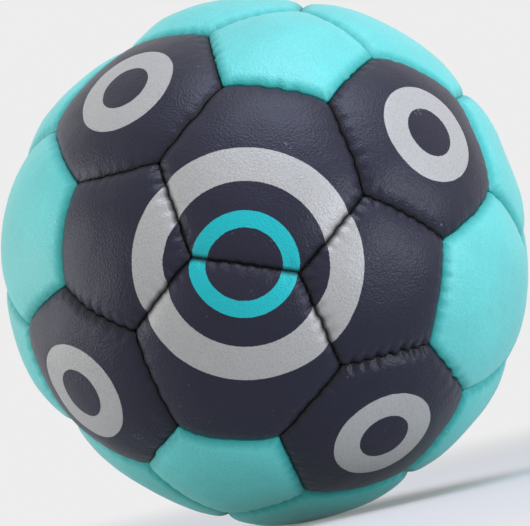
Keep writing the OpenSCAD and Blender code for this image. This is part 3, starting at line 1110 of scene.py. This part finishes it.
@dataclass(frozen=True)
class CoatedLeather:
    """Synthetic leather: microfibre with a moulded polyurethane coat.

    The coat gives a soft, broad highlight that the pebbled grain breaks up. Shade is painted
    into the creases as a darker colour, and faint scuffs and specks lie on the crowns.
    """

    name: str
    base: str
    # Colour of the shade painted into the creases.
    crease_shade: str
    scuff: str
    roughness: float
    specular: float
    sheen: float
    rings: tuple[Ring, ...] = ()
    pores: float = 0.15
    # How far off the seams the painted crease shade reaches, and how strongly it darkens.
    crease_mm: float = 2.1
    crease_from_mm: float = 0.2
    crease_shade_strength: float = 0.85
    # A handball's grain can be finer, near 0.4 mm. It is drawn coarser, so that the render shows it.
    grain_mm: float = 0.62
    grain_height_mm: float = 0.13
    pebble_share: float = 1.3
    mottle_mm: float = 24.0
    mottle: float = 0.07
    mottled_roughness: float = 0.04
    speck_mm: float = 1.1
    scuff_mm: float = 9.0
    scuffed: tuple[float, float] = (0.45, 0.54)
    scuff_strength: float = 0.4
    ragged_mm: float = 0.4
    soft_edge_mm: float = 0.08
    pinholed: tuple[float, float] = (0.34, 0.52)

    def material(self, ball: Ball) -> bpy.types.Material:
        """Makes the leather, with its printed rings."""
        on = Surface(self.name)
        add, place = on.add, on.place
        mottle = add("TexNoise", {"Vector": place, "Scale": scale_for(self.mottle_mm), "Detail": 3.0,
                                  "Roughness": 0.6}).outputs["Fac"]
        grain = add("TexNoise", {"Vector": place, "Scale": scale_for(self.grain_mm), "Detail": 2.0,
                                 "Roughness": 0.55}).outputs["Fac"]
        pebble = add("TexVoronoi", {"Vector": place, "Scale": scale_for(self.pebble_share * self.grain_mm),
                                    "Randomness": 1.0}, feature="SMOOTH_F1").outputs["Distance"]
        off = add("Attribute", attribute_name="seam_mm").outputs["Fac"]
        # The coat's own colour, a little lighter and darker in patches and from pore to pore.
        patch, pore = (add("MapRange", {0: noise, 1: NOISE_LOW, 2: NOISE_HIGH, 3: 1 - depth,
                                        4: 1 + depth}).outputs[0]
                       for noise, depth in ((mottle, self.mottle), (grain, self.pores)))
        shade = add("Math", {0: patch, 1: pore}, operation="MULTIPLY").outputs[0]
        colour = add("MixRGB", {"Fac": 1.0, "Color1": to_linear(self.base), "Color2": shade},
                     blend_type="MULTIPLY").outputs[0]
        colour, metallic = self._printed(on, ball, colour, grain)
        # Painted shade in the crease, over the print as well: the colour turns darker near the seams.
        crease_shade_share = add("MapRange", {0: off, 1: self.crease_from_mm, 2: self.crease_mm, 3: self.crease_shade_strength,
                                  4: 0.0}, interpolation_type="SMOOTHSTEP").outputs[0]
        # Specks of dust and small scuffs, where two fields of noise both peak.
        specks = add("TexNoise", {"Vector": place, "Scale": scale_for(self.speck_mm), "Detail": 1.0})
        scuffs = add("TexNoise", {"Vector": place, "Scale": scale_for(self.scuff_mm), "Detail": 2.0})
        both = add("Math", {0: specks.outputs["Fac"], 1: scuffs.outputs["Fac"]},
                   operation="MULTIPLY").outputs[0]
        low, high = self.scuffed
        scuff = add("MapRange", {0: both, 1: low, 2: high, 3: 0.0, 4: self.scuff_strength}).outputs[0]
        for share, over in ((crease_shade_share, self.crease_shade), (scuff, self.scuff)):
            colour = add("MixRGB", {"Fac": share, "Color1": colour, "Color2": to_linear(over)}).outputs[0]
        rough = add("MapRange", {0: mottle, 1: NOISE_LOW, 2: NOISE_HIGH,
                                 3: self.roughness - self.mottled_roughness,
                                 4: self.roughness + self.mottled_roughness}).outputs[0]
        height = add("Math", {0: grain, 1: pebble}, operation="ADD").outputs[0]
        bump = add("Bump", {"Strength": 1.0, "Distance": self.grain_height_mm * MM, "Height": height})
        feed(on.shader, {"Base Color": colour, "Roughness": rough, "Normal": bump.outputs[0], "IOR": 1.5,
                         "Specular IOR Level": self.specular, "Sheen Weight": self.sheen,
                         "Sheen Roughness": 0.45})
        if metallic:
            feed(on.shader, {"Metallic": metallic})
        return on.material

    def _printed(
        self, on: Surface, ball: Ball, colour: bpy.types.NodeSocket, grain: bpy.types.NodeSocket
    ) -> tuple[bpy.types.NodeSocket, bpy.types.NodeSocket | None]:
        """Lays the rings of ink over the leather.

        Args:
            on: The material in the making.
            ball: Sizes of the ball.
            colour: Colour of the bare leather.
            grain: Noise at the size of the grain.

        Returns:
            The colour with the rings, and how metallic they make the surface, if they do.
        """
        add = on.add
        metallic = None
        for ring in self.rings:
            spot = add("Attribute", attribute_name="print_mm").outputs["Vector"]
            folded = add("VectorMath", {0: spot}, operation="ABSOLUTE").outputs["Vector"]
            axis = tuple(unit(np.array(ring.about)))
            square = add("VectorMath", {0: folded, 1: axis}, operation="CROSS_PRODUCT").outputs["Vector"]
            reach = add("VectorMath", {0: square}, operation="LENGTH").outputs["Value"]
            ragged = add("Math", {0: grain, 1: self.ragged_mm, 2: reach},
                         operation="MULTIPLY_ADD").outputs[0]
            middle, half = ring.reach(ball.crown_top)
            aside = add("Math", {0: ragged, 1: -middle - self.ragged_mm / 2}, operation="ADD").outputs[0]
            aside = add("Math", {0: aside}, operation="ABSOLUTE").outputs[0]
            soft = self.soft_edge_mm
            inked = add("MapRange", {0: aside, 1: half + soft, 2: half - soft}).outputs[0]
            # The ink skips the deepest pores.
            low, high = self.pinholed
            whole = add("MapRange", {0: grain, 1: low, 2: high, 3: 1 - ring.ink.pinholes, 4: 1.0})
            cover = add("Math", {0: inked, 1: whole.outputs[0]}, operation="MULTIPLY").outputs[0]
            ink = to_linear(ring.ink.colour)
            colour = add("MixRGB", {"Fac": cover, "Color1": colour, "Color2": ink}).outputs[0]
            if ring.ink.metallic:
                metallic = add("Math", {0: cover, 1: ring.ink.metallic, 2: metallic or 0.0},
                               operation="MULTIPLY_ADD").outputs[0]
        return colour, metallic


@dataclass(frozen=True)
class MouldedRubber:
    """Rubber from a mould: matt and even, with a faint bloom and a fine orange-peel skin."""

    name: str
    base: str
    bloom: str
    roughness: float
    bump_mm: float = 0.03
    peel_mm: float = 1.2
    bloom_mm: float = 9.0
    bloom_strength: float = 0.5
    uneven_roughness: float = 0.08

    def material(self) -> bpy.types.Material:
        """Makes the rubber."""
        on = Surface(self.name)
        add, place = on.add, on.place
        cloud = add("TexNoise", {"Vector": place, "Scale": scale_for(self.bloom_mm), "Detail": 4.0})
        fine = add("TexNoise", {"Vector": place, "Scale": scale_for(self.peel_mm), "Detail": 2.0})
        fine = fine.outputs["Fac"]
        share = add("MapRange", {0: cloud.outputs["Fac"], 1: 0.4, 2: 0.7, 3: 0.0,
                                 4: self.bloom_strength}).outputs[0]
        colour = add("MixRGB", {"Fac": share, "Color1": to_linear(self.base),
                                "Color2": to_linear(self.bloom)}).outputs[0]
        rough = add("MapRange", {0: fine, 3: self.roughness - self.uneven_roughness,
                                 4: self.roughness + self.uneven_roughness}).outputs[0]
        bump = add("Bump", {"Strength": 0.5, "Distance": self.bump_mm * MM, "Height": fine})
        feed(on.shader, {"Base Color": colour, "Roughness": rough, "IOR": 1.52, "Normal": bump.outputs[0]})
        return on.material


@dataclass(frozen=True)
class CellFoam:
    """Foamed latex: dry and matt, with open cells under a millimetre across, and shade painted darker into
    each cell's hollow.
    """

    name: str
    base: str
    # Colour of the shade painted into each cell's hollow.
    pore: str
    cell_mm: float = 0.7
    bump_mm: float = 0.2

    def material(self) -> bpy.types.Material:
        """Makes the foam."""
        on = Surface(self.name)
        add, place = on.add, on.place
        cells = add("TexVoronoi", {"Vector": place, "Scale": scale_for(self.cell_mm)})
        cells = cells.outputs["Distance"]
        # Painted shade: the colour darkens where the cells sink, as the bump sinks them.
        pore = add("MapRange", {0: cells, 1: 0.15, 2: 0.4, 3: 1.0, 4: 0.0}).outputs[0]
        colour = add("MixRGB", {"Fac": pore, "Color1": to_linear(self.base),
                                "Color2": to_linear(self.pore)}).outputs[0]
        bump = add("Bump", {"Strength": 0.8, "Distance": self.bump_mm * MM, "Height": cells})
        feed(on.shader, {"Base Color": colour, "Roughness": 0.95, "Normal": bump.outputs[0]})
        return on.material


@dataclass(frozen=True)
class WovenCloth:
    """Laminated polyester and cotton: a plain weave under latex, dry and pale, with a faint nap."""

    name: str
    warp: str
    weft: str
    thread_mm: float = 0.5
    bump_mm: float = 0.12

    def material(self) -> bpy.types.Material:
        """Makes the cloth, with one wave for the warp and one square to it for the weft."""
        on = Surface(self.name)
        add, place = on.add, on.place
        wave = {"Vector": place, "Scale": wave_scale_for(self.thread_mm), "Distortion": 0.4, "Detail": 1.0}
        bands = [add("TexWave", wave, bands_direction=way).outputs["Fac"] for way in ("X", "Z")]
        colour = add("MixRGB", {"Fac": bands[0], "Color1": to_linear(self.weft),
                                "Color2": to_linear(self.warp)}).outputs[0]
        height = add("Math", {0: bands[0], 1: bands[1]}, operation="MULTIPLY").outputs[0]
        bump = add("Bump", {"Strength": 0.7, "Distance": self.bump_mm * MM, "Height": height})
        feed(on.shader, {"Base Color": colour, "Roughness": 0.88, "Sheen Weight": 0.2,
                         "Normal": bump.outputs[0]})
        return on.material


@dataclass(frozen=True)
class TwistedThread:
    """Polyester thread, twisted and waxed: pale, with a soft gloss along each turn of the twist, and shade
    painted darker into its grooves.
    """

    name: str
    base: str
    # Colour of the shade painted into the twist's grooves.
    groove_shade: str
    twist_mm: float = 0.6
    bump_mm: float = 0.12

    def material(self) -> bpy.types.Material:
        """Makes the thread."""
        on = Surface(self.name)
        add, place = on.add, on.place
        wave = {"Vector": place, "Scale": wave_scale_for(self.twist_mm), "Distortion": 0.6}
        twist = add("TexWave", wave, bands_direction="DIAGONAL").outputs["Fac"]
        # Painted shade: the colour darkens into the grooves of the twist, where the bump sinks.
        colour = add("MixRGB", {"Fac": twist, "Color1": to_linear(self.groove_shade),
                                "Color2": to_linear(self.base)}).outputs[0]
        bump = add("Bump", {"Strength": 0.8, "Distance": self.bump_mm * MM, "Height": twist})
        feed(on.shader, {"Base Color": colour, "Roughness": 0.42, "Normal": bump.outputs[0]})
        return on.material


@dataclass(frozen=True)
class Lamp:
    """A soft light, placed as seen from the camera: to the right, up, and towards the camera, in metres."""

    name: str
    place: tuple[float, float, float]
    size: float
    power: float
    colour: str


@dataclass
class Studio:
    """The floor, the lights, the pale surroundings and the camera."""

    azimuth: float = 4.82
    elevation: float = -0.08
    roll: float = -12.60
    distance: float = 3.686
    lens: float = 703.84
    sensor: float = 36.0
    clip: tuple[float, float] = (0.05, 100.0)
    aside_mm: tuple[float, float] = (-0.80, -1.19)
    surroundings: float = 0.85
    fill: float = 0.5
    floor_radius: float = 0.95
    floor_sides: int = 96
    floor_rings: tuple[float, ...] = (0.1, 0.3, 0.6, 1.0)
    floor_fades_from: float = 0.3
    paper_glow: float = 0.2
    lamps: tuple[Lamp, ...] = (
        Lamp("key_softbox", (0.12, 1.22, 0.38), 1.0, 11.6, "#dce6ff"),
        Lamp("left_softbox", (-1.22, -0.28, -0.15), 1.25, 7.9, "#f6f9ff"),
        Lamp("right_softbox", (1.05, 0.15, 0.75), 0.8, 10.6, "#e6eeff"),
    )

    def axes(self) -> Matrix:
        """The camera's axes: right, up and back, as columns."""
        a, e = math.radians(self.azimuth), math.radians(self.elevation)
        back = Vector((math.sin(a) * math.cos(e), -math.cos(a) * math.cos(e), math.sin(e)))
        level = back.to_track_quat("Z", "Y").to_matrix()
        return level @ Matrix.Rotation(math.radians(self.roll), 3, "Z")

    def camera(self) -> None:
        """Makes the camera at the photograph's angle and distance."""
        data = bpy.data.cameras.new("photo_camera")
        data.lens, data.sensor_width, data.sensor_fit = self.lens, self.sensor, "HORIZONTAL"
        data.clip_start, data.clip_end = self.clip
        camera = bpy.data.objects.new("photo_camera", data)
        axes = self.axes()
        aside = Vector((self.aside_mm[0] * MM, self.aside_mm[1] * MM, self.distance))
        camera.matrix_world = Matrix.Translation(axes @ aside) @ axes.to_4x4()
        bpy.context.scene.collection.objects.link(camera)
        bpy.context.scene.camera = camera

    def light(self) -> None:
        """Hangs the soft lights round the ball, each turned to it."""
        axes = self.axes()
        for lamp in self.lamps:
            data = bpy.data.lights.new(lamp.name, "AREA")
            data.shape, data.size, data.energy = "DISK", lamp.size, lamp.power
            data.color = to_linear(lamp.colour)[:3]
            obj = bpy.data.objects.new(lamp.name, data)
            place = axes @ Vector(lamp.place)
            obj.matrix_world = Matrix.Translation(place) @ place.to_track_quat("Z", "Y").to_matrix().to_4x4()
            bpy.context.scene.collection.objects.link(obj)

    def surround(self) -> None:
        """Makes the pale surroundings, dimmer where they light the ball than where they show."""
        world = bpy.data.worlds.new("pale_room")
        world.use_nodes = True
        tree = world.node_tree
        strength = add_node(tree, "MapRange", {0: seen_directly(tree), 3: self.fill, 4: self.surroundings})
        feed(tree.nodes["Background"], {"Color": to_linear("#ffffff"), "Strength": strength.outputs[0]})
        bpy.context.scene.world = world

    def floor(self) -> None:
        """Lays a pale round floor under the ball that fades into the surroundings."""
        shell = Shell()
        angle = np.arange(self.floor_sides) * 2 * math.pi / self.floor_sides
        circle = np.stack([np.cos(angle), np.sin(angle), np.zeros_like(angle)], 1) / MM
        down = np.array([0, 0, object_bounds()[0].z / MM])
        middle = shell.add(down[None])
        first, *others = self.floor_rings
        ring = shell.add(first * self.floor_radius * circle + down)
        shell.fan(int(middle[0]), ring, True)
        for share in others:
            ring = shell.strip(ring, shell.add(share * self.floor_radius * circle + down))
        shell.build("floor", self._paper())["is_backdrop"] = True

    def _paper(self) -> bpy.types.Material:
        """Studio paper: pale and matt, and a little of it as bright as the surroundings in any light."""
        on = Surface("studio_paper")
        add, tree = on.add, on.tree
        tree.nodes.remove(on.shader)
        reach = add("VectorMath", {0: on.place}, operation="LENGTH").outputs["Value"]
        fades_from = self.floor_fades_from * self.floor_radius
        gone = add("MapRange", {0: reach, 1: fades_from, 2: self.floor_radius},
                   interpolation_type="SMOOTHSTEP").outputs[0]
        share = add("Math", {0: seen_directly(tree), 1: self.paper_glow}, operation="MULTIPLY").outputs[0]
        lit = add("BsdfDiffuse", {"Color": to_linear("#d9d9d8")}).outputs[0]
        pale = add("Emission", {"Color": to_linear("#ffffff"), "Strength": self.surroundings}).outputs[0]
        paper = add("MixShader", {0: share, 1: lit, 2: pale}).outputs[0]
        clear = add("BsdfTransparent").outputs[0]
        faded = add("MixShader", {0: gone, 1: paper, 2: clear}).outputs[0]
        feed(tree.nodes["Material Output"], {"Surface": faded})
        return on.material


MIDDLE = (0.0, 1.0, 0.0)
CORNER = (1.0, 1.0, 1.0)
SILVER_INK = Ink("#b6b4b0", 0.12, 0.16)
TEAL_INK = Ink("#14bcc0", 0.0, 0.06)
RINGS = (
    Ring(MIDDLE, 13.0, 19.0, TEAL_INK),
    Ring(MIDDLE, 29.5, 42.0, SILVER_INK),
    Ring(CORNER, 9.5, 19.0, SILVER_INK),
)
# Each leather's third colour is the shade painted into its creases; the turquoise's is a deeper teal, painted
# out to 4.4 mm off the seams.
NAVY_LEATHER = CoatedLeather("navy_polyurethane_leather", "#1a192d", "#08070c", "#8f8f9a",
                             0.4, 0.34, 0.05, RINGS)
TURQUOISE_LEATHER = CoatedLeather("turquoise_polyurethane_leather", "#62d1cb", "#00a9a3", "#b9eceb",
                                  0.46, 0.65, 0.12, pores=0.09, crease_mm=4.4)
LATEX_FOAM = CellFoam("foamed_latex", "#e9e6dc", "#b9b4a4")
LAMINATED_CLOTH = WovenCloth("laminated_polyester_cotton", "#ddd8ca", "#c3bca9")
WAXED_THREAD = TwistedThread("waxed_polyester_thread", "#e6e3d8", "#bdb8a8")
BUTYL_RUBBER = MouldedRubber("moulded_butyl_rubber", "#3c3c40", "#57575b", 0.6)
VALVE_RUBBER = MouldedRubber("moulded_valve_rubber", "#1f1f22", "#2f2f33", 0.5, bump_mm=0.015, peel_mm=0.5)


def dress_node(name: str, material: bpy.types.Material) -> None:
    """Gives a CAD node that stays its finish."""
    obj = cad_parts[name]
    obj.data.materials.clear()
    obj.data.materials.append(material)
    LOG.info("%s keeps its CAD shape, in %s", name, material.name)


def main() -> None:
    """Builds the ball's layers from the outside in, and the studio round it."""
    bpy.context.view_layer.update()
    ball = Ball()
    layout = Layout(ball, seed=7)
    relief = Relief()
    CoverPanels(layout, relief).build({Colour.NAVY: NAVY_LEATHER.material(ball),
                                       Colour.TURQUOISE: TURQUOISE_LEATHER.material(ball)})
    pads = InnerLayer(layout, relief, "foam_pad", "pad", "pad_foam", LATEX_FOAM.material(),
                      side=ball.pad_side, floor=ball.pad_floor, rounding=0.35, under=ball.skin + 0.5)
    linings = InnerLayer(layout, relief, "cloth_lining", "lining", "lining_cloth", LAMINATED_CLOTH.material(),
                         side=ball.lining_side, floor=ball.flange_end + 0.05, rounding=0.1,
                         ceiling=ball.lining_top)
    groups = {
        "s_of_hexagons": [p for p in layout.panels if p.sides == 6 and p.name != VALVE_PANEL],
        "s_of_pentagons": [p for p in layout.panels if p.sides == 5],
        "_at_valve": [p for p in layout.panels if p.name == VALVE_PANEL],
    }
    for which, panels in groups.items():
        pads.build(which, panels)
        linings.build(which, panels)
    thread = SeamThread(layout, WAXED_THREAD.material())
    thread.build("stitches_between_hexagons", {6}, "thread_between_hexagons")
    thread.build("stitches_round_pentagons", {5, 6}, "thread_round_pentagons")
    Bladder(layout).build(BUTYL_RUBBER.material())
    moulded = VALVE_RUBBER.material()
    dress_node("valve_body", moulded)
    dress_node("valve_insert", moulded)
    studio = Studio()
    studio.floor()
    studio.light()
    studio.surround()
    studio.camera()
    bpy.context.scene.view_settings.view_transform = "Standard"


if __name__ == "__main__":
    logging.basicConfig(level=logging.INFO)
    main()
